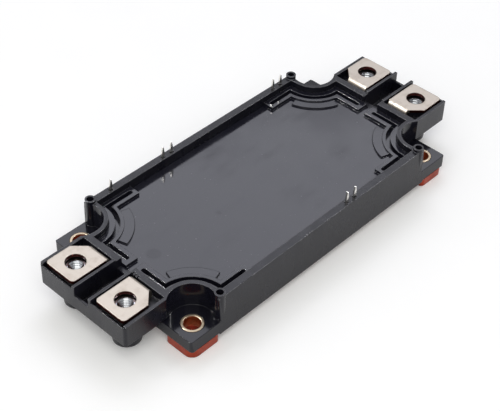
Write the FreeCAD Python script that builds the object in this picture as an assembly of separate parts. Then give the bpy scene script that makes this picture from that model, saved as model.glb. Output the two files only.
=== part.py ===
import FreeCAD, Part
import math
import os

# Half-bridge power module: flat housing on a copper base plate, 152 x 62 x 17 mm over the terminals.
# Origin at the centre of the underside of the base plate, X along the length, Z up.
# All sizes in millimetres. Most features stand mirrored about both X and Y.

# Overall size
length = 152.0
width = 62.0
terminal_z = 17.0
pin_tip_z = 20.5
rim_z = 16.3
block_low_z = 8.2

# Base plate
plate_length = 122.0
plate_thick = 3.0
plate_corner_r = 3.0
foot_x = 49.2
foot_y = 19.5
plate_side_y = 28.0
plate_end_x = 58.5
foot_round = 1.5

# Fixing holes with sleeves
hole_x = 55.0
hole_y = 25.0
hole_r = 2.75
sleeve_r = 3.65
sleeve_top_z = 7.3
ear_top_z = 7.2
ear_corner_r = 1.2
ear_overlap = 4.0
recess_r = 7.6

# Housing walls
skirt_z = 2.4
skirt_in_y = 28.2
wall_top_y = 30.0
well_x = 57.1
well_y = 27.4
well_corner_r = 9.0
cavity_x = 55.0
cavity_y = 25.6
cavity_corner_r = 11.0
ledge_z = 10.0
wall_end_round = 1.2
end_round = 1.0

# Screw posts for the driver board
post_x = 47.25
post_y = 28.75
post_r = 1.75
post_top_z = 17.5
post_hole_r = 1.2
post_hole_deep = 10.0

# Terminal blocks
block_half_y = 19.0
terminal_x = 68.5
terminal_y = 11.0
plate_in_x = 61.3
plate_out_x = 74.9
plate_in_y = 4.9
plate_out_y = 17.4
sheet_t = 1.2
bend_r = 1.7
corner_cut = 4.0
terminal_hole_r = 3.3
terminal_corner_r = 1.4
pocket_in_x = 59.5
pocket_out_x = 75.5
pocket_in_y = 4.1
pocket_out_y = 17.9
pocket_floor_z = 13.4
plinth_inset = 0.7
end_wall_top_z = 15.6
fin_top_z = 16.9
channel_half_y = 3.15
channel_floor_z = 9.3
channel_in_x = 59.1
channel_lip_z = 13.3
channel_lip_t = 0.8
boss_r = 4.6
boss_low_z = 1.2
boss_floor = 1.4
lower_inset = 1.2
seam = 0.2
screw_room_w = 7.2

# Small notches in the rim beside the negative terminal
key_from_y = -3.9
key_pitch = 1.1
key_w = 0.55
key_deep = 0.9
key_floor_z = 14.4
key_count = 3

# Captive nuts
nut_flats = 10.0
nut_height = 5.0
nut_bore_r = 2.5
nut_play = 0.1
nut_drop = 0.6

# Terminal legs inside the housing
leg_in_y = 5.2
leg_out_y = 13.2
leg_low_z = 8.0
leg_reach_x = 50.0
leg_wire_inset = 1.6
leg_wire_rise = 0.8
leg_wires = 2

# Lid
lid_gap = 0.1
lid_top_z = 12.9
lid_thick = 2.0
lid_skirt = 1.5
island_z = 14.0
island_long_x = 31.6
island_in_y = 23.1
island_in_x = 52.3
island_end_y = 1.4
island_r = 13.8
groove_z = 11.8
groove_in_y = 24.4
groove_out_y = 26.0
groove_in_x = 53.8
groove_out_x = 55.4
groove_in_r = 12.6
groove_out_r = 11.0
groove_end_x = 32.8
groove_end_y = 3.0
pad_z = 13.5
pad_r = 17.1
pad_overlap = 0.2
pad_from = 16.0
pad_to = 73.0

# Control pins, each with its x and its side of the module
pin_y = 28.6
pin_w = 1.0
pin_t = 0.64
pin_point = 2.0
pin_point_share = 0.7
pin_foot_z = 6.5
pin_foot_y = 23.6
pin_wire_inset = 1.2
pin_wire_rise = 0.6
pin_places = {
    "pin_collector_sense": (-38.7, 1),
    "pin_gate_high": (-15.8, 1),
    "pin_emitter_high": (-12.0, 1),
    "pin_gate_low": (37.5, 1),
    "pin_emitter_low": (41.3, 1),
    "pin_thermistor_1": (10.4, -1),
    "pin_thermistor_2": (14.2, -1),
}
pin_well = 0.5
pin_well_margin = 0.3

# Circuit inside
substrate_x = 29.0
substrate_y = 36.0
substrate_pitch = 30.5
foil_t = 0.3
ceramic_t = 0.5
foil_margin = 0.8
high_track_w = 10.4
return_track_w = 3.4
track_gap = 0.8
chip_t = 0.25
chip_w = 9.6
chip_edge_gap = 0.3
transistor_len = 9.6
transistor_y = 10.3
diode_len = 4.4
diode_y = 2.6
wire_w = 0.4
wire_rise = 1.5
wire_land = 0.5
wire_inset = 1.0
wire_crest_share = 0.45
wires_per_chip = 2
thermistor_centre = (12.3, -20.3)
thermistor_size = (3.2, 2.0, 1.2)
thermistor_wire_inset = 0.6
gel_low_z = 6.1
gel_top_z = 8.9
track_top_z = plate_thick + 2 * foil_t + ceramic_t

# How far above the highest surface a cut may start, and how near two points count as one
clear_above = 1.0
same_point = 0.05

vec = FreeCAD.Vector


def box(x0, x1, y0, y1, z0, z1):
    """Box between two values on each axis, in any order."""
    xs, ys, zs = sorted((x0, x1)), sorted((y0, y1)), sorted((z0, z1))
    return Part.makeBox(xs[1] - xs[0], ys[1] - ys[0], zs[1] - zs[0], vec(xs[0], ys[0], zs[0]))


def cylinder(x, y, r, z0, z1):
    """Upright cylinder about a point."""
    return Part.makeCylinder(r, z1 - z0, vec(x, y, z0))


def prism(points, z0, z1):
    """Upright prism over a closed outline of straight sides."""
    outline = [vec(x, y, z0) for x, y in points]
    wire = Part.makePolygon(outline + outline[:1])
    return Part.Face(wire).extrude(vec(0, 0, z1 - z0))


def fuse(shapes):
    """One solid from shapes that touch or overlap."""
    joined = shapes[0].fuse(shapes[1:]) if len(shapes) > 1 else shapes[0]
    return joined.removeSplitter()


def mirrored(shape, side_x, side_y):
    """Copy of a shape from the +X +Y quarter in the quarter given by two signs."""
    copy = shape.copy()
    if side_x < 0:
        copy = copy.mirror(vec(0, 0, 0), vec(1, 0, 0))
    if side_y < 0:
        copy = copy.mirror(vec(0, 0, 0), vec(0, 1, 0))
    return copy


def quarters(shape):
    """The four mirrored copies of a shape from the +X +Y quarter."""
    return [mirrored(shape, sx, sy) for sx in (1, -1) for sy in (1, -1)]


def rounded_upright_edges(solid, spots, radius):
    """Solid with its upright edges through the given points rounded."""
    picked = []
    for edge in solid.Edges:
        ends = [v.Point for v in edge.Vertexes]
        if len(ends) != 2 or abs(ends[0].z - ends[1].z) < same_point:
            continue
        for x, y in spots:
            if all(math.hypot(p.x - x, p.y - y) < same_point for p in ends):
                picked.append(edge)
    return solid.makeFillet(radius, picked)


def mirror_spots(x, y):
    """A point and its mirror images."""
    return [(sx * x, sy * y) for sx in (1, -1) for sy in (1, -1)]


def recessed_outline(end_x, side_y, corner_r, z0, z1):
    """Rectangle whose corners are scooped out by circles about the fixing holes."""
    shape = box(-end_x, end_x, -side_y, side_y, z0, z1)
    scoops = []
    for x, y in mirror_spots(hole_x, hole_y):
        scoop = cylinder(x, y, corner_r, z0, z1)
        outward = box(x, math.copysign(length, x), y, math.copysign(width, y), z0, z1)
        beside = box(x, math.copysign(length, x), y - math.copysign(corner_r, y), y, z0, z1)
        above = box(x - math.copysign(corner_r, x), x, y, math.copysign(width, y), z0, z1)
        scoops.append(scoop.fuse([outward, beside, above]))
    return shape.cut(scoops).removeSplitter()


def base_plate():
    """Copper plate, full size only at its four feet, drawn in between them under the housing."""
    half_x, half_y = plate_length / 2, width / 2
    plate = box(-half_x, half_x, -half_y, half_y, 0, plate_thick)
    plate = rounded_upright_edges(plate, mirror_spots(half_x, half_y), plate_corner_r)
    notches = []
    for side in (1, -1):
        notches.append(box(-foot_x, foot_x, side * plate_side_y, side * width, 0, plate_thick))
        notches.append(box(side * plate_end_x, side * length, -foot_y, foot_y, 0, plate_thick))
    plate = plate.cut(notches)
    plate = rounded_upright_edges(plate, mirror_spots(foot_x, half_y), foot_round)
    plate = rounded_upright_edges(plate, mirror_spots(half_x, foot_y), foot_round)
    holes = [cylinder(x, y, hole_r, 0, plate_thick) for x, y in mirror_spots(hole_x, hole_y)]
    return plate.cut(holes)


def sleeve(x, y):
    """Brass spacer that carries the clamping force of a fixing screw."""
    tube = cylinder(x, y, sleeve_r, plate_thick, sleeve_top_z)
    return tube.cut(cylinder(x, y, hole_r, plate_thick, sleeve_top_z))


def wall_end_x():
    """Where the long walls end, on the circle of the screw recess."""
    return hole_x - math.sqrt(recess_r ** 2 - (width / 2 - hole_y) ** 2)


def outer_outline(end_x, half_y, z0, z1):
    """Outer outline of the housing: long walls, scooped corners, then straight to its ends."""
    start = (hole_x + math.sqrt(recess_r ** 2 - (hole_y - half_y) ** 2), half_y)
    stop_x = wall_end_x()
    mid_angle = math.radians(225.0)
    middle = (hole_x + recess_r * math.cos(mid_angle), hole_y + recess_r * math.sin(mid_angle))
    edges = []
    for sx, sy in ((1, 1), (-1, 1), (-1, -1), (1, -1)):
        corner = [(sx * x, sy * y) for x, y in ((end_x, half_y), start, middle, (stop_x, width / 2))]
        points = [vec(x, y, z0) for x, y in corner]
        if sx * sy < 0:
            points.reverse()
            edges.append(Part.Arc(points[0], points[1], points[2]).toShape())
            edges.append(Part.LineSegment(points[2], points[3]).toShape())
        else:
            edges.append(Part.LineSegment(points[0], points[1]).toShape())
            edges.append(Part.Arc(points[1], points[2], points[3]).toShape())
        following = (-sx * stop_x, sy * width / 2) if sx * sy > 0 else (sx * end_x, -sy * half_y)
        edges.append(Part.LineSegment(points[3], vec(following[0], following[1], z0)).toShape())
    wire = Part.Wire(Part.__sortEdges__(edges))
    return Part.Face(wire).extrude(vec(0, 0, z1 - z0))


def draft_envelope():
    """Long prism whose sides lean in, so that the long walls are wider at the foot."""
    lean = (width / 2 - wall_top_y) / (rim_z - skirt_z)
    high = post_top_z + clear_above
    top_y = wall_top_y - lean * (high - rim_z)
    half = width / 2
    section = [(-half, 0), (half, 0), (half, skirt_z), (top_y, high), (-top_y, high), (-half, skirt_z)]
    points = [vec(-length, y, z) for y, z in section]
    wire = Part.makePolygon(points + points[:1])
    return Part.Face(wire).extrude(vec(2 * length, 0, 0))


def ears():
    """Four corner ears that hold the sleeves down on the feet of the base plate."""
    half_x, half_y = plate_length / 2, width / 2
    ear = box(foot_x - ear_overlap, half_x, foot_y - ear_overlap, half_y, plate_thick, ear_top_z)
    ear = rounded_upright_edges(ear, [(half_x, half_y)], ear_corner_r)
    return quarters(ear)


def outer_body():
    """Housing before it is hollowed out."""
    half = length / 2
    upper = outer_outline(half, block_half_y, block_low_z, rim_z)
    upper = rounded_upright_edges(upper, mirror_spots(half, block_half_y), end_round)
    upper = rounded_upright_edges(upper, mirror_spots(wall_end_x(), width / 2), wall_end_round)
    lower = outer_outline(plate_length / 2, block_half_y - lower_inset, plate_thick, block_low_z)
    lower = rounded_upright_edges(lower, mirror_spots(wall_end_x(), width / 2), wall_end_round)
    skirts = [box(-foot_x, foot_x, s * skirt_in_y, s * width / 2, skirt_z, plate_thick) for s in (1, -1)]
    bosses = []
    for x, y in mirror_spots(terminal_x, terminal_y):
        bosses.append(cylinder(x, y, boss_r, boss_low_z, block_low_z))
        inner_x = math.copysign(plate_end_x + seam, x)
        bosses.append(box(x, inner_x, y - boss_r, y + boss_r, plate_thick, block_low_z))
    return fuse([upper, lower] + ears() + skirts + bosses).common(draft_envelope())


def lid_well():
    """Room for the lid, and below its ledge the room for the circuit."""
    well = recessed_outline(well_x, well_y, well_corner_r, ledge_z, post_top_z + clear_above)
    cavity = recessed_outline(cavity_x, cavity_y, cavity_corner_r, plate_thick, ledge_z)
    return well.fuse(cavity)


def plinth_outline(inset, z0, z1):
    """Prism with the outline of a terminal plate, drawn in by a margin."""
    x0, x1 = plate_in_x + inset, plate_out_x - inset
    y0, y1 = plate_in_y + inset, plate_out_y - inset
    cut = corner_cut - (2 - math.sqrt(2)) * inset
    return prism([(x0, y0), (x1, y0), (x1, y1), (x0 + cut, y1), (x0, y1 - cut)], z0, z1)


def hexagon(x, y, flats, z0, z1):
    """Hexagonal prism with two flats facing along X."""
    r = flats / math.sqrt(3)
    corners = [math.radians(30 + 60 * k) for k in range(6)]
    return prism([(x + r * math.cos(a), y + r * math.sin(a)) for a in corners], z0, z1)


def terminal_pocket():
    """Cuts of one terminal place, in the +X +Y quarter: moat round the plate, nut seat and screw room."""
    seat_z = terminal_z - sheet_t
    high = terminal_z + clear_above
    moat = box(pocket_in_x, pocket_out_x, pocket_in_y, pocket_out_y, pocket_floor_z, high)
    moat = moat.cut(plinth_outline(plinth_inset, pocket_floor_z, seat_z))
    low_end = box(pocket_out_x, length, pocket_in_y, width, end_wall_top_z, high)
    nut_low = seat_z - nut_drop - nut_height
    nut_seat = hexagon(terminal_x, terminal_y, nut_flats + 2 * nut_play, nut_low, seat_z)
    screw_room = hexagon(terminal_x, terminal_y, screw_room_w, boss_low_z + boss_floor, seat_z)
    return [moat, low_end, nut_seat, screw_room]


def channel_cuts(side):
    """Open channel between the two terminals at one end, with a notch in the rim where it meets the lid."""
    lip_x = length / 2 - channel_lip_t
    high = terminal_z + clear_above
    spans = [
        (well_x, channel_in_x, lid_top_z),
        (channel_in_x, lip_x, channel_floor_z),
        (lip_x, length, channel_lip_z),
    ]
    return [box(side * x0, side * x1, -channel_half_y, channel_half_y, low, high) for x0, x1, low in spans]


def key_notches():
    """Row of small notches in the rim beside the negative terminal."""
    notches = []
    for k in range(key_count):
        y = key_from_y - k * key_pitch
        notches.append(box(-pocket_in_x, -pocket_in_x + key_deep, y, y - key_w, key_floor_z, terminal_z))
    return notches


def fins():
    """Thin ribs between each terminal plate and the channel."""
    fin = box(pocket_in_x, length / 2, channel_half_y, pocket_in_y, pocket_floor_z, fin_top_z)
    return quarters(fin)


def pin_wells():
    """Small sunk places in the rim where the control pins come out."""
    wells = []
    for x, side in pin_places.values():
        half_x = pin_w / 2 + pin_well_margin
        half_y = pin_t / 2 + pin_well_margin
        y = side * pin_y
        low, high = rim_z - pin_well, rim_z + clear_above
        wells.append(box(x - half_x, x + half_x, y - half_y, y + half_y, low, high))
    return wells


def housing(inserts):
    """One moulding: walls, ears, screw recesses, posts and terminal blocks round the metal inserts."""
    cuts = [lid_well()] + key_notches() + pin_wells()
    for shape in terminal_pocket():
        cuts += quarters(shape)
    for side in (1, -1):
        cuts += channel_cuts(side)
    for x, y in mirror_spots(hole_x, hole_y):
        cuts.append(cylinder(x, y, sleeve_r, plate_thick, ear_top_z))
    for x, y in mirror_spots(post_x, post_y):
        cuts.append(cylinder(x, y, post_hole_r, post_top_z - post_hole_deep, post_top_z))
    posts = [cylinder(x, y, post_r, ear_top_z, post_top_z) for x, y in mirror_spots(post_x, post_y)]
    body = fuse([outer_body()] + posts).cut(cuts)
    body = fuse([body] + fins())
    return body.cut(inserts).removeSplitter()


def terminal():
    """Bent and plated copper strip of one power terminal, in the +X +Y quarter."""
    leg_x = plate_in_x
    top, low = terminal_z, leg_low_z
    plate = plinth_outline(0, top - sheet_t, top)
    outer_corners = [(plate_out_x, plate_in_y), (plate_out_x, plate_out_y)]
    plate = rounded_upright_edges(plate, outer_corners, terminal_corner_r)
    plate = plate.cut(cylinder(terminal_x, terminal_y, terminal_hole_r, low, top))
    leg = box(leg_x, leg_x - sheet_t, leg_in_y, leg_out_y, low, top)
    leg = leg.fuse(box(leg_x, leg_x + bend_r, leg_in_y, leg_out_y, top - sheet_t, top)).removeSplitter()
    bend = [e for e in leg.Edges if is_edge_along_y(e, leg_x - sheet_t, top)]
    leg = leg.makeFillet(bend_r, bend)
    foot = box(leg_reach_x, leg_x, leg_in_y, leg_out_y, low, low + sheet_t)
    return fuse([plate, leg, foot])


def is_edge_along_y(edge, x, z):
    """True for a straight edge along Y through the given x and z."""
    ends = edge.Vertexes
    return len(ends) == 2 and all(math.hypot(v.X - x, v.Z - z) < same_point for v in ends)


def terminal_nut(x, y):
    """Hexagon nut that sits captive under a terminal plate."""
    top = terminal_z - sheet_t - nut_drop
    low = top - nut_height
    return hexagon(x, y, nut_flats, low, top).cut(cylinder(x, y, nut_bore_r, low, top))


def control_pin(x, side):
    """Flat pin with a pointed tip and a foot inside for its bond wire."""
    half_w, half_t = pin_w / 2, pin_t / 2
    y = side * pin_y
    stem = box(x - half_w, x + half_w, y - half_t, y + half_t, pin_foot_z, pin_tip_z)
    slope = half_w * pin_point_share
    for s in (1, -1):
        corners = [(half_w, pin_tip_z), (half_w, pin_tip_z - pin_point), (half_w - slope, pin_tip_z)]
        points = [vec(x + s * across, y - half_t, z) for across, z in corners]
        wedge = Part.Face(Part.makePolygon(points + points[:1])).extrude(vec(0, pin_t, 0))
        stem = stem.cut(wedge)
    foot = box(x - half_w, x + half_w, y, side * pin_foot_y, pin_foot_z, pin_foot_z + pin_t)
    return fuse([stem, foot])


def arc_pad(r_in, r_out, z0, z1):
    """Curved pad about the fixing hole of the +X +Y quarter, between two radii."""
    angles = [math.radians(180 + a) for a in (pad_from, (pad_from + pad_to) / 2, pad_to)]
    outer = [vec(hole_x + r_out * math.cos(a), hole_y + r_out * math.sin(a), z0) for a in angles]
    inner = [vec(hole_x + r_in * math.cos(a), hole_y + r_in * math.sin(a), z0) for a in angles]
    edges = [
        Part.Arc(outer[0], outer[1], outer[2]).toShape(),
        Part.LineSegment(outer[2], inner[2]).toShape(),
        Part.Arc(inner[2], inner[1], inner[0]).toShape(),
        Part.LineSegment(inner[0], outer[0]).toShape(),
    ]
    return Part.Face(Part.Wire(edges)).extrude(vec(0, 0, z1 - z0))


def lid_island():
    """Raised border of one lid corner, before it is trimmed to the lid's outline."""
    along_side = box(island_long_x, hole_x, island_in_y, width / 2, lid_top_z, island_z)
    along_end = box(island_in_x, length / 2, island_end_y, hole_y, lid_top_z, island_z)
    corner = cylinder(hole_x, hole_y, island_r, lid_top_z, island_z)
    return fuse([along_side, along_end, corner])


def lid_groove():
    """Groove that runs along the border of one lid corner, with rounded ends."""
    mid_y = (groove_in_y + groove_out_y) / 2
    mid_x = (groove_in_x + groove_out_x) / 2
    half = (groove_out_y - groove_in_y) / 2
    low, high = groove_z, island_z
    straight = fuse([
        box(groove_end_x + half, hole_x, groove_in_y, groove_out_y, low, high),
        cylinder(groove_end_x + half, mid_y, half, low, high),
        box(groove_in_x, groove_out_x, groove_end_y + half, hole_y, low, high),
        cylinder(mid_x, groove_end_y + half, half, low, high),
    ])
    disc = cylinder(hole_x, hole_y, groove_in_r, low, high)
    straight = straight.cut(disc)
    ring = disc.cut(cylinder(hole_x, hole_y, groove_out_r, low, high))
    ring = ring.common(box(hole_x - island_r, groove_out_x, hole_y - island_r, groove_out_y, low, high))
    return fuse([straight, ring])


def lid():
    """Flat cover with raised, grooved corners and a skirt that stands on the ledge."""
    end_x, side_y, corner_r = well_x - lid_gap, well_y - lid_gap, well_corner_r + lid_gap
    panel_low = lid_top_z - lid_thick
    panel = recessed_outline(end_x, side_y, corner_r, panel_low, lid_top_z)
    skirt = recessed_outline(end_x, side_y, corner_r, ledge_z, panel_low)
    inner_x, inner_y, inner_r = end_x - lid_skirt, side_y - lid_skirt, corner_r + lid_skirt
    skirt = skirt.cut(recessed_outline(inner_x, inner_y, inner_r, ledge_z, panel_low))
    outline = recessed_outline(end_x, side_y, corner_r, lid_top_z, island_z)
    islands = [shape.common(outline) for shape in quarters(lid_island())]
    pads = quarters(arc_pad(island_r - pad_overlap, pad_r, lid_top_z, pad_z))
    body = fuse([panel, skirt] + islands + pads)
    return body.cut(quarters(lid_groove())).removeSplitter()


def track_bands():
    """Copper islands on a substrate as ranges of x about its centre: high side, low side, return."""
    edge = substrate_x / 2 - foil_margin
    high_end = high_track_w - edge
    return_start = edge - return_track_w
    return {
        "high": (-edge, high_end),
        "low": (high_end + track_gap, return_start - track_gap),
        "return": (return_start, edge),
    }


def chip_columns():
    """Middle x of the two columns of chips, each with the x where its wires land."""
    bands = track_bands()
    high_mid = sum(bands["high"]) / 2
    low_mid = bands["low"][1] - chip_w / 2 - chip_edge_gap
    return [(high_mid, bands["low"][0] + wire_inset), (low_mid, sum(bands["return"]) / 2)]


def chip_rows():
    """Rows of chips along a substrate: middle y, length and kind."""
    rows = []
    for side in (-1, 1):
        rows.append((side * transistor_y, transistor_len, "transistor"))
        rows.append((side * diode_y, diode_len, "diode"))
    return rows


def chips(kind):
    """All chips of one kind on a substrate at the origin."""
    found = []
    half_w = chip_w / 2
    for middle, landing in chip_columns():
        for y, size, row_kind in chip_rows():
            if row_kind == kind:
                low_y, high_y = y - size / 2, y + size / 2
                top = track_top_z + chip_t
                found.append(box(middle - half_w, middle + half_w, low_y, high_y, track_top_z, top))
    return Part.makeCompound(found)


def wire(start, stop, start_z, stop_z, crest_z):
    """One flat-sided wire that rises to a crest between two points in plan."""
    span = math.hypot(stop[0] - start[0], stop[1] - start[1])
    along = vec((stop[0] - start[0]) / span, (stop[1] - start[1]) / span, 0)
    across = vec(along.y, -along.x, 0) * wire_w
    crest = wire_crest_share * span
    outline = [
        (-wire_land, start_z),
        (-wire_land, start_z + wire_w),
        (crest, crest_z),
        (span + wire_land, stop_z + wire_w),
        (span + wire_land, stop_z),
        (crest, crest_z - wire_w),
    ]
    corner = vec(start[0], start[1], 0) - across / 2
    points = [corner + along * distance + vec(0, 0, z) for distance, z in outline]
    return Part.Face(Part.makePolygon(points + points[:1])).extrude(across)


def bond_wires():
    """Looped wires from each chip to the copper island beside it."""
    chip_z = track_top_z + chip_t
    wires = []
    for x0, x1 in chip_columns():
        for y, size, kind in chip_rows():
            pitch = size / (wires_per_chip + 1)
            for k in range(wires_per_chip):
                wire_y = y - size / 2 + (k + 1) * pitch
                wires.append(wire((x0, wire_y), (x1, wire_y), chip_z, track_top_z, chip_z + wire_rise))
    return Part.makeCompound(wires)


def terminal_wires(side_x, side_y):
    """Wires from one power terminal's foot to the outer copper island, between those of the chips."""
    landing = side_x * (substrate_pitch + sum(track_bands()["return"]) / 2)
    foot = side_x * (leg_reach_x + leg_wire_inset)
    foot_z = leg_low_z + sheet_t
    pitch = transistor_len / (wires_per_chip + 1)
    first = transistor_y - (leg_wires - 1) * pitch
    wires = []
    for k in range(leg_wires):
        y = side_y * (first + k * pitch)
        wires.append(wire((foot, y), (landing, y), foot_z, track_top_z, foot_z + leg_wire_rise))
    return Part.makeCompound(wires)


def control_wires():
    """One wire from each control pin's foot to a substrate or to the temperature sensor."""
    wires = []
    foot_z = pin_foot_z + pin_t
    reach_x = substrate_x / 2 - foil_margin - wire_inset
    reach_y = substrate_y / 2 - foil_margin - wire_inset
    sensor_x, sensor_y = thermistor_centre
    sensor_reach = thermistor_size[0] / 2 - thermistor_wire_inset
    for name, (x, side) in pin_places.items():
        if "thermistor" in name:
            stop = (sensor_x + math.copysign(sensor_reach, x - sensor_x), sensor_y)
            stop_z = plate_thick + thermistor_size[2]
        else:
            centre = round(x / substrate_pitch) * substrate_pitch
            stop = (max(centre - reach_x, min(centre + reach_x, x)), side * reach_y)
            stop_z = track_top_z
        start = (x, side * (pin_foot_y + pin_wire_inset))
        wires.append(wire(start, stop, foot_z, stop_z, foot_z + pin_wire_rise))
    return Part.makeCompound(wires)


def circuit(index, centre):
    """Nodes of one substrate with its foils, chips and wires; the left one faces the other way."""
    half_x, half_y = substrate_x / 2, substrate_y / 2
    foil_x, foil_y = half_x - foil_margin, half_y - foil_margin
    foil_top_z = plate_thick + foil_t
    track_z = foil_top_z + ceramic_t
    tracks = [box(x0, x1, -foil_y, foil_y, track_z, track_top_z) for x0, x1 in track_bands().values()]
    nodes = {
        "substrate_foil": box(-foil_x, foil_x, -foil_y, foil_y, plate_thick, foil_top_z),
        "substrate": box(-half_x, half_x, -half_y, half_y, foil_top_z, track_z),
        "copper_tracks": Part.makeCompound(tracks),
        "transistor_chips": chips("transistor"),
        "diode_chips": chips("diode"),
        "bond_wires": bond_wires(),
    }
    placed = {}
    for name, shape in nodes.items():
        shape = mirrored(shape, math.copysign(1, centre), 1)
        shape.translate(vec(centre, 0, 0))
        placed["%s_%d" % (name, index)] = shape
    return placed


def thermistor():
    """Small ceramic temperature sensor on the base plate, beside its two pins."""
    x, y = thermistor_centre
    sx, sy, sz = thermistor_size
    return box(x - sx / 2, x + sx / 2, y - sy / 2, y + sy / 2, plate_thick, plate_thick + sz)


def gel(inside):
    """Soft filling over the circuit, with a pocket round each foot and set of wires that pass through it."""
    fill = recessed_outline(cavity_x, cavity_y, cavity_corner_r, gel_low_z, gel_top_z)
    pockets = []
    for shape in inside:
        for solid in shape.Solids:
            edge = solid.BoundBox
            pockets.append(box(edge.XMin, edge.XMax, edge.YMin, edge.YMax, gel_low_z, gel_top_z))
    return fill.cut(fuse(pockets)).removeSplitter()


def build():
    """All nodes by name."""
    parts = {"base_plate": base_plate(), "lid": lid()}
    corners = {"front_left": (-1, -1), "front_right": (1, -1), "rear_left": (-1, 1), "rear_right": (1, 1)}
    for name, (sx, sy) in corners.items():
        parts["mounting_sleeve_" + name] = sleeve(sx * hole_x, sy * hole_y)
    places = {"dc_plus": (-1, 1), "dc_minus": (-1, -1), "ac_1": (1, 1), "ac_2": (1, -1)}
    inserts = []
    for name, (sx, sy) in places.items():
        parts["terminal_" + name] = mirrored(terminal(), sx, sy)
        inserts.append(parts["terminal_" + name])
        parts["terminal_nut_" + name] = terminal_nut(sx * terminal_x, sy * terminal_y)
        parts["terminal_wires_" + name] = terminal_wires(sx, sy)
    for name, (x, side) in pin_places.items():
        parts[name] = control_pin(x, side)
        inserts.append(parts[name])
    parts["housing"] = housing(inserts)
    for index in range(3):
        parts.update(circuit(index + 1, (index - 1) * substrate_pitch))
    parts["thermistor"] = thermistor()
    parts["control_wires"] = control_wires()
    wires = [shape for name, shape in parts.items() if name.startswith("terminal_wires")]
    parts["silicone_gel"] = gel(inserts + wires + [parts["control_wires"]])
    return parts


def main():
    os.makedirs("parts", exist_ok=True)
    for name, shape in build().items():
        if not shape.isValid():
            print("invalid shape:", name)
        print(name, len(shape.Solids), "solids", round(shape.Volume, 1), "mm3")
        shape.exportStep("parts/%s.step" % name)


main()
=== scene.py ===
import bpy
import bmesh
import math
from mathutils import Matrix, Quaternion, Vector


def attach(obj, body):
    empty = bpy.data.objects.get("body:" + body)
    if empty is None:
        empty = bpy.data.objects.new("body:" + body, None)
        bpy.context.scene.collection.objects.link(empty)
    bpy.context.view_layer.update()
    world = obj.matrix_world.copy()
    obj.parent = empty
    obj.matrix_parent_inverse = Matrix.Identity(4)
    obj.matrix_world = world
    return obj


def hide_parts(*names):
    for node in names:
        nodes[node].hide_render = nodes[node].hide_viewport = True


# Power module on a pale table: black moulded housing with a sunk lid, nickel terminals, copper feet
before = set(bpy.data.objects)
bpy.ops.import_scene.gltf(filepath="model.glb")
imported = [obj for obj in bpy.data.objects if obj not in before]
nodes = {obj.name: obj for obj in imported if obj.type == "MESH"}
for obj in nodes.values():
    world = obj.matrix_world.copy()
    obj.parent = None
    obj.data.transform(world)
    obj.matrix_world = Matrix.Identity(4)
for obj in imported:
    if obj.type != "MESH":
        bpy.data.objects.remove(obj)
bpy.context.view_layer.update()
mm = 0.001
cornerSamples = 6  # rays that find the rounding of each corner
print("frame loaded,", len(nodes), "nodes")


def hexToLinear(code):
    # sRGB hex to the linear values that the shader wants
    parts = [int(code[i:i + 2], 16) / 255 for i in (1, 3, 5)]
    linear = [c / 12.92 if c <= 0.04045 else ((c + 0.055) / 1.055) ** 2.4 for c in parts]
    return (*linear, 1.0)


def addNode(tree, kind, settings=None, links=None):
    # one node, its settings (sockets or properties) and what feeds its sockets; in a colour mix
    # socket 0 is the mask, 6 and 7 are the colours that it runs between, and output 2 the result
    node = tree.nodes.new(kind)
    for key, value in (settings or {}).items():
        if isinstance(key, int) or key in node.inputs:
            node.inputs[key].default_value = value
        else:
            setattr(node, key, value)
    for key, source in (links or {}).items():
        tree.links.new(source, node.inputs[key])
    return node


def startMaterial(name):
    # empty material with its shader wired to the output
    material = bpy.data.materials.new(name)
    material.use_nodes = True
    tree = material.node_tree
    tree.nodes.clear()
    shader = addNode(tree, "ShaderNodeBsdfPrincipled")
    addNode(tree, "ShaderNodeOutputMaterial", links={"Surface": shader.outputs["BSDF"]})
    place = addNode(tree, "ShaderNodeTexCoord")
    return material, tree, shader, place.outputs["Object"]


def noiseMask(tree, place, pattern):
    # 0 to 1 patches, sizeMm across, that begin where the noise passes low and are full at high;
    # each finer octave of the noise is 0.6 as strong as the one before
    mapped = addNode(tree, "ShaderNodeMapping", {"Scale": pattern.get("stretch", (1, 1, 1))},
                     {"Vector": place})
    noise = addNode(tree, "ShaderNodeTexNoise",
                    {"Scale": 1 / (pattern["sizeMm"] * mm), "Detail": pattern.get("detail", 4.0),
                     "Roughness": 0.6},
                    {"Vector": mapped.outputs["Vector"]})
    ramp = addNode(tree, "ShaderNodeMapRange",
                   {"From Min": pattern["low"], "From Max": pattern["high"]},
                   {"Value": noise.outputs["Fac"]})
    return ramp.outputs["Result"]


def levelMask(tree, low, high):
    # 0 on upright faces, 1 on faces that look straight up or down
    geometry = addNode(tree, "ShaderNodeNewGeometry")
    facing = addNode(tree, "ShaderNodeSeparateXYZ",
                     links={"Vector": geometry.outputs["True Normal"]})
    upward = addNode(tree, "ShaderNodeMath", {"operation": "ABSOLUTE"}, {0: facing.outputs["Z"]})
    ramp = addNode(tree, "ShaderNodeMapRange", {"From Min": low, "From Max": high},
                   {"Value": upward.outputs["Value"]})
    return ramp.outputs["Result"]


# Painted highlight on the upper rounded corners of the plastic pieces: it comes and goes along each
# corner, with bright spots
cornerHighlightLook = {
    "highlightBreaks": {"sizeMm": 4.0, "low": 0.38, "high": 0.68}, "share": (0.14, 0.7),
    # cosine between the rounded normal and the face's own where the painted highlight begins and
    # where it is full
    "turned": (0.995, 0.96),
}


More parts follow.
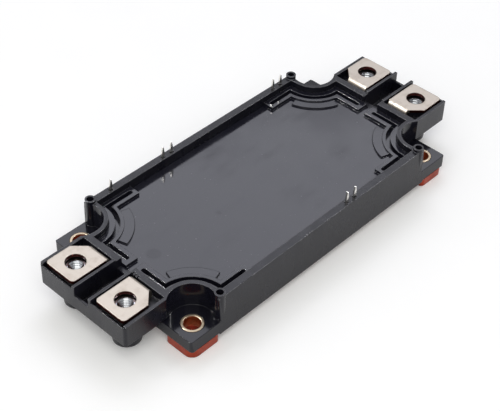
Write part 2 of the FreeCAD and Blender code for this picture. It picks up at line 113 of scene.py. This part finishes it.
def paintedHighlightEdges(tree, place, rounded, lowMm):
    # share of painted highlight along the rounded corners that lie above lowMm
    geometry = addNode(tree, "ShaderNodeNewGeometry")
    alike = addNode(tree, "ShaderNodeVectorMath", {"operation": "DOT_PRODUCT"},
                    {0: rounded, 1: geometry.outputs["True Normal"]})
    begins, full = cornerHighlightLook["turned"]
    edge = addNode(tree, "ShaderNodeMapRange", {"From Min": begins, "From Max": full},
                   {"Value": alike.outputs["Value"]})
    spot = addNode(tree, "ShaderNodeSeparateXYZ", links={"Vector": place})
    high = addNode(tree, "ShaderNodeMath", {"operation": "GREATER_THAN", 1: lowMm * mm},
                   {0: spot.outputs["Z"]})
    both = addNode(tree, "ShaderNodeMath", {"operation": "MULTIPLY"},
                   {0: edge.outputs["Result"], 1: high.outputs["Value"]})
    least, most = cornerHighlightLook["share"]
    highlightStrength = addNode(tree, "ShaderNodeMapRange", {"To Min": least, "To Max": most},
                   {"Value": noiseMask(tree, place, cornerHighlightLook["highlightBreaks"])})
    share = addNode(tree, "ShaderNodeMath", {"operation": "MULTIPLY"},
                    {0: both.outputs["Value"], 1: highlightStrength.outputs["Result"]})
    return share.outputs["Value"]


def addBumps(tree, shader, layers, normal=None):
    # layers of (height, depth in mm, strength), the coarsest first, over a normal that is there
    for height, depthMm, strength in layers:
        bump = addNode(tree, "ShaderNodeBump", {"Strength": strength, "Distance": depthMm * mm},
                       {"Height": height})
        if normal is not None:
            tree.links.new(normal, bump.inputs["Normal"])
        normal = bump.outputs["Normal"]
    tree.links.new(normal, shader.inputs["Normal"])


# Glass-filled PBT, injection moulded in a spark-eroded tool:
# near black with a cool cast, satin, with a fine even grain, faint upright flow streaks
# and a painted highlight along its upper rounded corners
housingLook = {
    "base": "#0f0f17", "patch": "#191922",
    # the pale tone is a painted highlight, and the height in mm is where it begins on the corners
    "paintedHighlight": "#8a8a90", "paintedHighlightFrom": 15.8, "cornerMm": 0.35,
    "patches": {"sizeMm": 14.0, "low": 0.35, "high": 0.7}, "patchBump": (0.04, 0.15),
    "flow": {"sizeMm": 7.0, "low": 0.4, "high": 0.7, "stretch": (1, 1, 0.3)},
    # eroded grain is about 0.05 mm across, too fine to show: drawn seven times as coarse
    "grain": {"sizeMm": 0.35, "low": 0.3, "high": 0.7, "detail": 2.0}, "grainBump": (0.03, 0.35),
    "roughness": (0.24, 0.34), "flowRoughness": (-0.04, 0.08),
    # solid PBT has an IOR of about 1.57, but the grain scatters part of the gloss away
    "ior": 1.46, "specular": 0.4,
    # centre and radius of the screw recesses in mm, how softly they end, and their polish
    "recess": {"x": 55.0, "y": 25.0, "radius": 8.2, "soft": 0.3, "roughness": 0.13},
}


def mouldedPbt(name, look):
    material, tree, shader, place = startMaterial(name)
    patches = noiseMask(tree, place, look["patches"])
    flow = noiseMask(tree, place, look["flow"])
    fine = noiseMask(tree, place, look["grain"])
    rounded = addNode(tree, "ShaderNodeBevel",
                      {"samples": cornerSamples, "Radius": look["cornerMm"] * mm}).outputs["Normal"]
    colour = addNode(tree, "ShaderNodeMix",
                     {"data_type": "RGBA",
                      6: hexToLinear(look["base"]), 7: hexToLinear(look["patch"])},
                     {0: patches})
    # painted highlight: a pale tone mixed in along the upper rounded corners
    colour = addNode(tree, "ShaderNodeMix", {"data_type": "RGBA", 7: hexToLinear(look["paintedHighlight"])},
                     {0: paintedHighlightEdges(tree, place, rounded, look["paintedHighlightFrom"]),
                      6: colour.outputs[2]})
    tree.links.new(colour.outputs[2], shader.inputs["Base Color"])

    low, high = look["roughness"]
    patchy = addNode(tree, "ShaderNodeMapRange", {"To Min": low, "To Max": high},
                     {"Value": patches})
    low, high = look["flowRoughness"]
    streaky = addNode(tree, "ShaderNodeMapRange", {"To Min": low, "To Max": high},
                      {"Value": flow})
    rough = addNode(tree, "ShaderNodeMath", {"operation": "ADD"},
                    {0: patchy.outputs["Result"], 1: streaky.outputs["Result"]})
    # the tool's core pins are polished: smooth and without grain round the four screw recesses
    recess = look["recess"]
    mirrored = addNode(tree, "ShaderNodeVectorMath", {"operation": "ABSOLUTE"}, {0: place})
    flat = addNode(tree, "ShaderNodeVectorMath", {"operation": "MULTIPLY", 1: (1, 1, 0)},
                   {0: mirrored.outputs["Vector"]})
    away = addNode(tree, "ShaderNodeVectorMath",
                   {"operation": "DISTANCE", 1: (recess["x"] * mm, recess["y"] * mm, 0)},
                   {0: flat.outputs["Vector"]})
    outside = addNode(tree, "ShaderNodeMapRange",
                      {"From Min": (recess["radius"] - recess["soft"]) * mm,
                       "From Max": recess["radius"] * mm},
                      {"Value": away.outputs["Value"]})
    finish = addNode(tree, "ShaderNodeMapRange", {"To Min": recess["roughness"]},
                     {"Value": outside.outputs["Result"], "To Max": rough.outputs["Value"]})
    tree.links.new(finish.outputs["Result"], shader.inputs["Roughness"])
    grain = addNode(tree, "ShaderNodeMath", {"operation": "MULTIPLY"},
                    {0: fine, 1: outside.outputs["Result"]})
    shader.inputs["IOR"].default_value = look["ior"]
    shader.inputs["Specular IOR Level"].default_value = look["specular"]
    addBumps(tree, shader,
             [(patches, *look["patchBump"]), (grain.outputs["Value"], *look["grainBump"])], rounded)
    return material


# The same PBT from a polished tool: smooth enough to mirror walls and pins softly,
# with faint sink marks, an ejector mark, handling smears and specks of dust
lidLook = {
    "base": "#15151f", "patch": "#191924", "dust": "#66666c", "dustShare": 0.5,
    # the pale tone is a painted highlight, and the height in mm is where it begins on the rounded
    # corners
    "paintedHighlight": "#a0a0a6", "paintedHighlightFrom": 13.7, "cornerMm": 0.3,
    "patches": {"sizeMm": 22.0, "low": 0.3, "high": 0.7, "detail": 2.0}, "patchBump": (0.10, 0.2),
    "smears": {"sizeMm": 9.0, "low": 0.52, "high": 0.78, "stretch": (0.5, 1.4, 1)},
    "smearBump": (0.01, 0.15),
    # dust is 0.1 mm and finer: drawn as sparse specks up to 0.8 mm, so that a few of them show
    "specks": {"sizeMm": 0.8, "low": 0.74, "high": 0.80, "detail": 1.0},
    # x, y and radius in mm of the round ejector mark and of a small dull spot, on the top face
    "marks": [(-47.0, 0.0, 2.7), (-19.5, -0.8, 1.2)], "topMm": 12.9, "markSoft": 0.6,
    "markBump": (0.02, 0.3),
    "roughness": (0.08, 0.17), "smearRoughness": 0.12, "markRoughness": 0.12,
    "ior": 1.5,
}


def polishedPbt(name, look):
    material, tree, shader, place = startMaterial(name)
    patches = noiseMask(tree, place, look["patches"])
    smears = noiseMask(tree, place, look["smears"])
    specks = addNode(tree, "ShaderNodeMapRange", {"To Max": look["dustShare"]},
                     {"Value": noiseMask(tree, place, look["specks"])})
    rounded = addNode(tree, "ShaderNodeBevel",
                      {"samples": cornerSamples, "Radius": look["cornerMm"] * mm}).outputs["Normal"]
    colour = addNode(tree, "ShaderNodeMix",
                     {"data_type": "RGBA",
                      6: hexToLinear(look["base"]), 7: hexToLinear(look["patch"])},
                     {0: patches})
    colour = addNode(tree, "ShaderNodeMix", {"data_type": "RGBA", 7: hexToLinear(look["dust"])},
                     {0: specks.outputs["Result"], 6: colour.outputs[2]})
    # painted highlight: a pale tone mixed in along the upper rounded corners
    colour = addNode(tree, "ShaderNodeMix", {"data_type": "RGBA", 7: hexToLinear(look["paintedHighlight"])},
                     {0: paintedHighlightEdges(tree, place, rounded, look["paintedHighlightFrom"]),
                      6: colour.outputs[2]})
    tree.links.new(colour.outputs[2], shader.inputs["Base Color"])

    # 0 inside each round mark, where the surface is duller and a hair lower, 1 everywhere else
    clear = None
    for x, y, radius in look["marks"]:
        away = addNode(tree, "ShaderNodeVectorMath",
                       {"operation": "DISTANCE", 1: (x * mm, y * mm, look["topMm"] * mm)},
                       {0: place})
        rim = addNode(tree, "ShaderNodeMapRange",
                      {"From Min": (radius - look["markSoft"]) * mm, "From Max": radius * mm},
                      {"Value": away.outputs["Value"]}).outputs["Result"]
        if clear is None:
            clear = rim
        else:
            clear = addNode(tree, "ShaderNodeMath", {"operation": "MULTIPLY"},
                            {0: clear, 1: rim}).outputs["Value"]
    low, high = look["roughness"]
    patchy = addNode(tree, "ShaderNodeMapRange", {"To Min": low, "To Max": high},
                     {"Value": patches})
    smeared = addNode(tree, "ShaderNodeMapRange", {"To Max": look["smearRoughness"]},
                      {"Value": smears})
    marked = addNode(tree, "ShaderNodeMapRange", {"To Min": look["markRoughness"], "To Max": 0.0},
                     {"Value": clear})
    rough = addNode(tree, "ShaderNodeMath", {"operation": "ADD"},
                    {0: patchy.outputs["Result"], 1: smeared.outputs["Result"]})
    rough = addNode(tree, "ShaderNodeMath", {"operation": "ADD"},
                    {0: rough.outputs["Value"], 1: marked.outputs["Result"]})
    tree.links.new(rough.outputs["Value"], shader.inputs["Roughness"])
    shader.inputs["IOR"].default_value = look["ior"]
    addBumps(tree, shader,
             [(patches, *look["patchBump"]), (clear, *look["markBump"]),
              (smears, *look["smearBump"])],
             rounded)
    return material


# Electrolytic copper plate, rolled and punched, left bare:
# warm red-brown, duller where it has oxidised, with fine rolling lines along its length
copperLook = {
    "bright": "#a84835", "oxide": "#873628", "stain": "#5a2018", "stainShare": 0.6, "cornerMm": 0.3,
    "patches": {"sizeMm": 7.0, "low": 0.35, "high": 0.65}, "patchBump": (0.03, 0.2),
    "stains": {"sizeMm": 2.45, "low": 0.58, "high": 0.76},
    # rolling lines are some 0.05 mm apart, too fine to show: drawn five times as coarse
    "lines": {"sizeMm": 0.25, "low": 0.2, "high": 0.8, "detail": 2.0, "stretch": (0.05, 1, 1)},
    "lineBump": (0.01, 0.4),
    "roughness": (0.24, 0.42),
}


def rolledCopper(name, look):
    material, tree, shader, place = startMaterial(name)
    patches = noiseMask(tree, place, look["patches"])
    lines = noiseMask(tree, place, look["lines"])
    stains = addNode(tree, "ShaderNodeMapRange", {"To Max": look["stainShare"]},
                     {"Value": noiseMask(tree, place, look["stains"])})
    colour = addNode(tree, "ShaderNodeMix",
                     {"data_type": "RGBA",
                      6: hexToLinear(look["bright"]), 7: hexToLinear(look["oxide"])},
                     {0: patches})
    colour = addNode(tree, "ShaderNodeMix", {"data_type": "RGBA", 7: hexToLinear(look["stain"])},
                     {0: stains.outputs["Result"], 6: colour.outputs[2]})
    tree.links.new(colour.outputs[2], shader.inputs["Base Color"])
    shader.inputs["Metallic"].default_value = 1.0
    low, high = look["roughness"]
    rough = addNode(tree, "ShaderNodeMapRange", {"To Min": low, "To Max": high}, {"Value": patches})
    tree.links.new(rough.outputs["Result"], shader.inputs["Roughness"])
    rounded = addNode(tree, "ShaderNodeBevel",
                      {"samples": cornerSamples, "Radius": look["cornerMm"] * mm}).outputs["Normal"]
    addBumps(tree, shader, [(patches, *look["patchBump"]), (lines, *look["lineBump"])], rounded)
    return material


# Nickel-plated copper strip, brushed, plated, then sheared and bent:
# satin warm silver with fine lines across the strip, a few dull scuffs, and bare copper where cut,
# darkened as painted shade
nickelLook = {
    "clean": "#aea69c", "dull": "#a39a90", "cut": "#4a2320", "cornerMm": 0.35,
    "scuffs": {"sizeMm": 3.0, "low": 0.5, "high": 0.75}, "scuffBump": (0.02, 0.15),
    # brush lines are some 0.03 mm apart, too fine to show: drawn four times as coarse
    "lines": {"sizeMm": 0.12, "low": 0.2, "high": 0.8, "detail": 2.0, "stretch": (1, 0.04, 1)},
    "lineBump": (0.006, 0.35),
    "roughness": (0.42, 0.52), "lineRoughness": (-0.03, 0.05),
    # how level a face is where the plating begins and where it is whole
    "levelFrom": 0.15, "levelTo": 0.35,
    # x in mm where the bend ends: on the housing's side of it the upright faces are plated too
    "bendX": 61.6,
}


def brushedNickel(name, look):
    material, tree, shader, place = startMaterial(name)
    scuffs = noiseMask(tree, place, look["scuffs"])
    lines = noiseMask(tree, place, look["lines"])
    colour = addNode(tree, "ShaderNodeMix",
                     {"data_type": "RGBA",
                      6: hexToLinear(look["clean"]), 7: hexToLinear(look["dull"])},
                     {0: scuffs})
    spot = addNode(tree, "ShaderNodeSeparateXYZ", links={"Vector": place})
    reach = addNode(tree, "ShaderNodeMath", {"operation": "ABSOLUTE"}, {0: spot.outputs["X"]})
    bent = addNode(tree, "ShaderNodeMath", {"operation": "LESS_THAN", 1: look["bendX"] * mm},
                   {0: reach.outputs["Value"]})
    plated = addNode(tree, "ShaderNodeMath", {"operation": "MAXIMUM"},
                     {0: levelMask(tree, look["levelFrom"], look["levelTo"]),
                      1: bent.outputs["Value"]})
    # upright faces outside the bend take the dark cut tone: bare copper, darkened as painted shade
    colour = addNode(tree, "ShaderNodeMix", {"data_type": "RGBA", 6: hexToLinear(look["cut"])},
                     {0: plated.outputs["Value"], 7: colour.outputs[2]})
    tree.links.new(colour.outputs[2], shader.inputs["Base Color"])
    shader.inputs["Metallic"].default_value = 1.0
    low, high = look["roughness"]
    scuffed = addNode(tree, "ShaderNodeMapRange", {"To Min": low, "To Max": high},
                      {"Value": scuffs})
    low, high = look["lineRoughness"]
    lined = addNode(tree, "ShaderNodeMapRange", {"To Min": low, "To Max": high}, {"Value": lines})
    rough = addNode(tree, "ShaderNodeMath", {"operation": "ADD"},
                    {0: scuffed.outputs["Result"], 1: lined.outputs["Result"]})
    tree.links.new(rough.outputs["Value"], shader.inputs["Roughness"])
    rounded = addNode(tree, "ShaderNodeBevel",
                      {"samples": cornerSamples, "Radius": look["cornerMm"] * mm}).outputs["Normal"]
    addBumps(tree, shader, [(scuffs, *look["scuffBump"]), (lines, *look["lineBump"])], rounded)
    return material


# Metals and ceramics of the small pieces: two tones, a roughness range and a grain.
# Their real grains and drawn lines are under 0.05 mm: grainMm is as coarse as each needs to show
smallLooks = {
    # red brass, turned: pale on faces that look up or down and copper-brown on upright faces,
    # painted light: lit end faces and a painted copper reflection in the bore
    "turnedBrass": {
        "tones": ("#cc7a4c", "#a05a34"), "level": "#b2a38d", "levelFrom": 0.3, "levelTo": 0.6,
        "metallic": 1.0,
        "roughness": (0.40, 0.50), "grainMm": 0.2, "stretch": (0.2, 0.2, 1), "depthMm": 0.01},
    # zinc-plated steel, blue passivated: cool grey silver with sharp glints on the thread
    "zincSteel": {
        "tones": ("#b6b8bd", "#8b8d92"), "metallic": 1.0,
        "roughness": (0.10, 0.20), "grainMm": 0.5, "stretch": (1, 1, 1), "depthMm": 0.01},
    # tinned bronze strip, stamped: near white, with lines drawn along the pin
    "tinnedBronze": {
        "tones": ("#f3f1ed", "#d8d5cf"), "metallic": 1.0,
        "roughness": (0.20, 0.34), "grainMm": 0.15, "stretch": (1, 1, 0.08), "depthMm": 0.01},
    # alumina, fired and lapped: matt white with a grey mottle
    "firedAlumina": {
        "tones": ("#ece9e2", "#d5d2ca"), "metallic": 0.0,
        "roughness": (0.45, 0.6), "grainMm": 0.4, "stretch": (1, 1, 1), "depthMm": 0.008},
    # copper foil bonded to the ceramic: salmon, with a dull etched surface
    "etchedCopper": {
        "tones": ("#d0917a", "#a9654f"), "metallic": 1.0,
        "roughness": (0.35, 0.5), "grainMm": 0.3, "stretch": (1, 1, 1), "depthMm": 0.008},
    # silicon chip with its aluminium face: grey mirror with a faint haze
    "metallisedSilicon": {
        "tones": ("#8f9298", "#6f727a"), "metallic": 1.0,
        "roughness": (0.15, 0.25), "grainMm": 0.6, "stretch": (1, 1, 1), "depthMm": 0.003},
    # aluminium wire, drawn: soft white metal with faint drawn lines
    "drawnAluminium": {
        "tones": ("#dcdcdd", "#b9babc"), "metallic": 1.0,
        "roughness": (0.25, 0.35), "grainMm": 0.2, "stretch": (0.1, 1, 1), "depthMm": 0.005},
    # sintered oxide bead: dark and slightly rough
    "sinteredOxide": {
        "tones": ("#3a3a3e", "#2b2b2f"), "metallic": 0.0,
        "roughness": (0.5, 0.65), "grainMm": 0.2, "stretch": (1, 1, 1), "depthMm": 0.01},
}


# What the small pieces share: how many grains across their patches of tone are, where patches and
# grain begin and are full, and how strongly the grain shades
toneLook = {"grainsAcross": 8, "patches": (0.35, 0.7), "grain": (0.25, 0.75), "bump": 0.4}


def twoTone(name, look):
    material, tree, shader, place = startMaterial(name)
    low, high = toneLook["patches"]
    patches = noiseMask(tree, place, {"sizeMm": look["grainMm"] * toneLook["grainsAcross"],
                                      "low": low, "high": high})
    low, high = toneLook["grain"]
    grain = noiseMask(tree, place, {"sizeMm": look["grainMm"], "low": low, "high": high,
                                    "detail": 2.0, "stretch": look["stretch"]})
    first, second = look["tones"]
    colour = addNode(tree, "ShaderNodeMix",
                     {"data_type": "RGBA", 6: hexToLinear(first), 7: hexToLinear(second)},
                     {0: patches})
    # painted light: faces that look up or down take the pale level tone, upright faces keep the
    # darker tones
    if "level" in look:
        colour = addNode(tree, "ShaderNodeMix",
                         {"data_type": "RGBA", 7: hexToLinear(look["level"])},
                         {0: levelMask(tree, look["levelFrom"], look["levelTo"]),
                          6: colour.outputs[2]})
    tree.links.new(colour.outputs[2], shader.inputs["Base Color"])
    shader.inputs["Metallic"].default_value = look["metallic"]
    low, high = look["roughness"]
    rough = addNode(tree, "ShaderNodeMapRange", {"To Min": low, "To Max": high}, {"Value": patches})
    tree.links.new(rough.outputs["Result"], shader.inputs["Roughness"])
    addBumps(tree, shader, [(grain, look["depthMm"], toneLook["bump"])])
    return material


# Silicone gel, two-part, cured clear: soft and glassy, with a slight milky haze
gelLook = {
    "tint": "#eef2f4", "milk": "#dfe6ea", "roughness": (0.06, 0.14), "ior": 1.41, "clearness": 0.9,
    "haze": {"sizeMm": 12.0, "low": 0.3, "high": 0.7}, "hazeBump": (0.05, 0.1),
}


def clearGel(name, look):
    material, tree, shader, place = startMaterial(name)
    haze = noiseMask(tree, place, look["haze"])
    colour = addNode(tree, "ShaderNodeMix",
                     {"data_type": "RGBA",
                      6: hexToLinear(look["tint"]), 7: hexToLinear(look["milk"])},
                     {0: haze})
    tree.links.new(colour.outputs[2], shader.inputs["Base Color"])
    low, high = look["roughness"]
    rough = addNode(tree, "ShaderNodeMapRange", {"To Min": low, "To Max": high}, {"Value": haze})
    tree.links.new(rough.outputs["Result"], shader.inputs["Roughness"])
    shader.inputs["IOR"].default_value = look["ior"]
    shader.inputs["Transmission Weight"].default_value = look["clearness"]
    addBumps(tree, shader, [(haze, *look["hazeBump"])])
    return material


smallFinishes = {kind: twoTone(kind, look) for kind, look in smallLooks.items()}
# What each piece is made of. The first entry that a piece's name begins with counts
finishes = {
    "housing": mouldedPbt("glassFilledPbt", housingLook),
    "lid": polishedPbt("polishedPbt", lidLook),
    "base_plate": rolledCopper("rolledCopper", copperLook),
    "mounting_sleeve": smallFinishes["turnedBrass"],
    "terminal_nut": smallFinishes["zincSteel"],
    "terminal_wires": smallFinishes["drawnAluminium"],
    "terminal_": brushedNickel("brushedNickel", nickelLook),
    "pin_": smallFinishes["tinnedBronze"],
    "substrate_foil": smallFinishes["etchedCopper"],
    "substrate_": smallFinishes["firedAlumina"],
    "copper_tracks": smallFinishes["etchedCopper"],
    "transistor_chips": smallFinishes["metallisedSilicon"],
    "diode_chips": smallFinishes["metallisedSilicon"],
    "bond_wires": smallFinishes["drawnAluminium"],
    "control_wires": smallFinishes["drawnAluminium"],
    "thermistor": smallFinishes["sinteredOxide"],
    "silicone_gel": clearGel("siliconeGel", gelLook),
}
print("materials made,", len(bpy.data.materials))


def finishOf(name):
    for start, material in finishes.items():
        if name.startswith(start):
            return material
    raise ValueError("no finish for " + name)


# Broken edges of the small turned and stamped pieces, in mm. Plastic, copper and nickel get theirs
# in the shader, because the short edges of those pieces leave a bevel no room
edgeLook = {"widths": {"mounting_sleeve": 0.2, "pin_": 0.06}, "weldMm": 0.01,
            "segments": 2, "angle": 35}


def softenEdges(piece, width, look):
    weld = piece.modifiers.new("weld", "WELD")
    weld.merge_threshold = look["weldMm"] * mm
    bevel = piece.modifiers.new("edges", "BEVEL")
    bevel.width = width * mm
    bevel.segments = look["segments"]
    bevel.limit_method = "ANGLE"
    bevel.angle_limit = math.radians(look["angle"])
    bevel.use_clamp_overlap = False


for name, piece in nodes.items():
    piece.data.materials.clear()
    piece.data.materials.append(finishOf(name))
    for start, width in edgeLook["widths"].items():
        if name.startswith(start):
            softenEdges(piece, width, edgeLook)
print("CAD pieces dressed")


# Hexagon nut with a real M6 thread, seen through the hole of each terminal plate. Lengths in mm:
# across the flats, from low to high, with a thread between coreR and rootR; the chamfer draws the
# corners in by inset, x and y are the holes' places, and points nearer than weld are one
nutSize = {"flats": 10.0, "low": 10.2, "high": 15.2, "coreR": 2.5, "rootR": 3.0, "pitch": 1.0,
           "chamfer": 0.5, "inset": 0.55, "x": 68.5, "y": 11.0, "weld": 0.0005, "steps": 36,
           # share of a pitch and radius of each corner of the thread's zigzag
           "thread": ((0.0, "rootR"), (0.45, "coreR"), (0.55, "coreR"))}


def threadedNut(name, x, y, size):
    mesh = bmesh.new()
    steps, low, high = size["steps"], size["low"], size["high"]
    angles = [2 * math.pi * k / steps for k in range(steps + 1)]
    hexR = size["flats"] / math.sqrt(3)
    side = math.radians(60)

    def outerRadius(angle, inset):
        # distance to the hexagon, limited by the cone of the chamfer
        local = (angle - side / 2) % side - side / 2
        return min(size["flats"] / 2 / math.cos(local), hexR - inset)

    def ringOf(radii, z):
        return [mesh.verts.new((r * math.cos(angle), r * math.sin(angle), z))
                for r, angle in zip(radii, angles[:steps])]

    rings = []
    for z, inset in ((low, size["inset"]), (low + size["chamfer"], 0.0),
                     (high - size["chamfer"], 0.0), (high, size["inset"])):
        rings.append(ringOf([outerRadius(angle, inset) for angle in angles[:steps]], z))
    for z in (high, low):
        rings.append(ringOf([size["rootR"]] * steps, z))
    for a, b in ((0, 1), (1, 2), (2, 3), (3, 4), (5, 0)):
        for k in range(steps):
            j = (k + 1) % steps
            mesh.faces.new((rings[a][k], rings[a][j], rings[b][j], rings[b][k]))
    # the thread: a zigzag from root to core, one pitch per turn, cut off at both faces
    turns = int(round((high - low) / size["pitch"])) + 1
    profile = [(share, size[radius]) for share, radius in size["thread"]]
    columns = []
    for k, angle in enumerate(angles):
        column = []
        for turn in range(-1, turns + 1):
            for share, r in profile:
                z = low + (turn + share) * size["pitch"] + size["pitch"] * k / steps
                z = min(max(z, low), high)
                column.append(mesh.verts.new((r * math.cos(angle), r * math.sin(angle), z)))
        columns.append(column)
    for left, right in zip(columns, columns[1:]):
        for i in range(len(left) - 1):
            mesh.faces.new((left[i], left[i + 1], right[i + 1], right[i]))
    bmesh.ops.remove_doubles(mesh, verts=mesh.verts, dist=size["weld"])
    for vert in mesh.verts:
        vert.co = (vert.co + Vector((x, y, 0))) * mm
    bmesh.ops.recalc_face_normals(mesh, faces=mesh.faces)
    data = bpy.data.meshes.new(name)
    mesh.to_mesh(data)
    mesh.free()
    nut = bpy.data.objects.new(name, data)
    bpy.context.scene.collection.objects.link(nut)
    data.materials.append(smallFinishes["zincSteel"])
    return nut


for label, sideX, sideY in (("dc_plus", -1, 1), ("dc_minus", -1, -1),
                            ("ac_1", 1, 1), ("ac_2", 1, -1)):
    nut = threadedNut("threaded_nut_" + label, sideX * nutSize["x"], sideY * nutSize["y"], nutSize)
    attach(nut, "root")
    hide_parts("terminal_nut_" + label)
print("nuts threaded")


# White laminate table top, sizes in metres: an even pale matt sheet. The glow is only for what
# looks at it, the camera, a glossy face or the gel: it keeps the sheet white with its shadow on it
tableLook = {
    "size": 4.0, "drop": 0.0002, "pale": "#fafafa", "dim": "#f8f8f8",
    "mottle": {"sizeMm": 40.0, "low": 0.3, "high": 0.7}, "roughness": 0.7, "glow": 0.08,
}


def paleTable(look):
    data = bpy.data.meshes.new("table")
    half = look["size"] / 2
    corners = [(-half, -half, 0), (half, -half, 0), (half, half, 0), (-half, half, 0)]
    data.from_pydata(corners, [], [(0, 1, 2, 3)])
    table = bpy.data.objects.new("table", data)
    bpy.context.scene.collection.objects.link(table)
    table.location.z = -look["drop"]
    material, tree, shader, place = startMaterial("whiteLaminate")
    colour = addNode(tree, "ShaderNodeMix",
                     {"data_type": "RGBA",
                      6: hexToLinear(look["pale"]), 7: hexToLinear(look["dim"])},
                     {0: noiseMask(tree, place, look["mottle"])})
    tree.links.new(colour.outputs[2], shader.inputs["Base Color"])
    shader.inputs["Roughness"].default_value = look["roughness"]
    path = addNode(tree, "ShaderNodeLightPath")
    seen = addNode(tree, "ShaderNodeMath", {"operation": "MAXIMUM"},
                   {0: path.outputs["Is Camera Ray"], 1: path.outputs["Is Glossy Ray"]})
    seen = addNode(tree, "ShaderNodeMath", {"operation": "MAXIMUM"},
                   {0: seen.outputs["Value"], 1: path.outputs["Is Transmission Ray"]})
    glow = addNode(tree, "ShaderNodeMapRange", {"To Max": look["glow"]},
                   {"Value": seen.outputs["Value"]})
    tree.links.new(glow.outputs["Result"], shader.inputs["Emission Strength"])
    data.materials.append(material)
    return table


paleTable(tableLook)

# The view: angles in degrees, lengths in mm, the lens as its focal length in pixels of the
# picture, and the nearest and farthest things that it sees, in metres
viewLook = {"azimuth": -47.79, "elevation": 42.13, "roll": 2.0, "distance": 409.32,
            "target": (-5.92, -1.92, 8.0), "focalPx": 1254.04, "widthPx": 500, "sensor": 36,
            "nearest": 0.01, "farthest": 20}


def placeCamera(look):
    azimuth, elevation = math.radians(look["azimuth"]), math.radians(look["elevation"])
    back = Vector((math.sin(azimuth) * math.cos(elevation),
                   -math.cos(azimuth) * math.cos(elevation), math.sin(elevation)))
    camera = bpy.data.objects.new("camera", bpy.data.cameras.new("camera"))
    bpy.context.scene.collection.objects.link(camera)
    camera.location = (Vector(look["target"]) + back * look["distance"]) * mm
    roll = Quaternion((0, 0, 1), math.radians(look["roll"]))
    camera.rotation_mode = "QUATERNION"
    camera.rotation_quaternion = (-back).to_track_quat("-Z", "Y") @ roll
    camera.data.sensor_width = look["sensor"]
    camera.data.lens = look["focalPx"] / look["widthPx"] * look["sensor"]
    camera.data.clip_start, camera.data.clip_end = look["nearest"], look["farthest"]
    bpy.context.scene.camera = camera


placeCamera(viewLook)

# Soft boxes and bare lamps, all aimed at the middle of the module: place and size in metres, watts
lamps = {
    "nearBox": {"place": (-0.45, -0.45, 0.85), "size": (0.8, 0.8), "power": 3.7,
                "tint": (1.0, 0.99, 0.93)},
    # the window that the lid mirrors
    "farWindow": {"place": (0.63, 0.57, 0.985), "size": (1.0, 0.6), "power": 4.35,
                  "tint": (0.88, 0.895, 1.0)},
    "leftFill": {"place": (-0.9, -0.1, 0.45), "size": (0.7, 0.7), "power": 1.0},
    # two small bare lamps that only make the bright lines on rounded corners
    "endGlint": {"place": (-0.25, 0.5, 0.83), "size": (0.08, 0.08), "power": 7.0,
                 "glossOnly": True},
    "sideGlint": {"place": (0.55, -0.2, 0.81), "size": (0.08, 0.08), "power": 3.0,
                  "glossOnly": True},
}

for name, lamp in lamps.items():
    data = bpy.data.lights.new(name, "AREA")
    data.shape = "RECTANGLE"
    data.size, data.size_y = lamp["size"]
    data.energy = lamp["power"]
    data.color = lamp.get("tint", (1, 1, 1))
    light = bpy.data.objects.new(name, data)
    bpy.context.scene.collection.objects.link(light)
    light.visible_diffuse = not lamp.get("glossOnly", False)
    light.location = lamp["place"]
    light.rotation_mode = "QUATERNION"
    light.rotation_quaternion = (-Vector(lamp["place"])).to_track_quat("-Z", "Y")

# The room: white to the camera and through the gel, and these levels as light and in reflections
roomLook = {"light": 0.55, "mirror": 0.5}


def studioRoom(look):
    world = bpy.data.worlds.new("studio")
    bpy.context.scene.world = world
    world.use_nodes = True
    tree = world.node_tree
    tree.nodes.clear()
    path = addNode(tree, "ShaderNodeLightPath")
    seen = addNode(tree, "ShaderNodeMath", {"operation": "MAXIMUM"},
                   {0: path.outputs["Is Camera Ray"], 1: path.outputs["Is Transmission Ray"]})
    unseen = addNode(tree, "ShaderNodeMapRange",
                     {"To Min": look["light"], "To Max": look["mirror"]},
                     {"Value": path.outputs["Is Glossy Ray"]})
    level = addNode(tree, "ShaderNodeMapRange", {"To Max": 1.0},
                    {"Value": seen.outputs["Value"], "To Min": unseen.outputs["Result"]})
    glow = addNode(tree, "ShaderNodeBackground", {"Color": (1, 1, 1, 1)},
                   {"Strength": level.outputs["Result"]})
    addNode(tree, "ShaderNodeOutputWorld", links={"Surface": glow.outputs["Background"]})


studioRoom(roomLook)
bpy.context.scene.view_settings.view_transform = "Standard"
print("stage set")
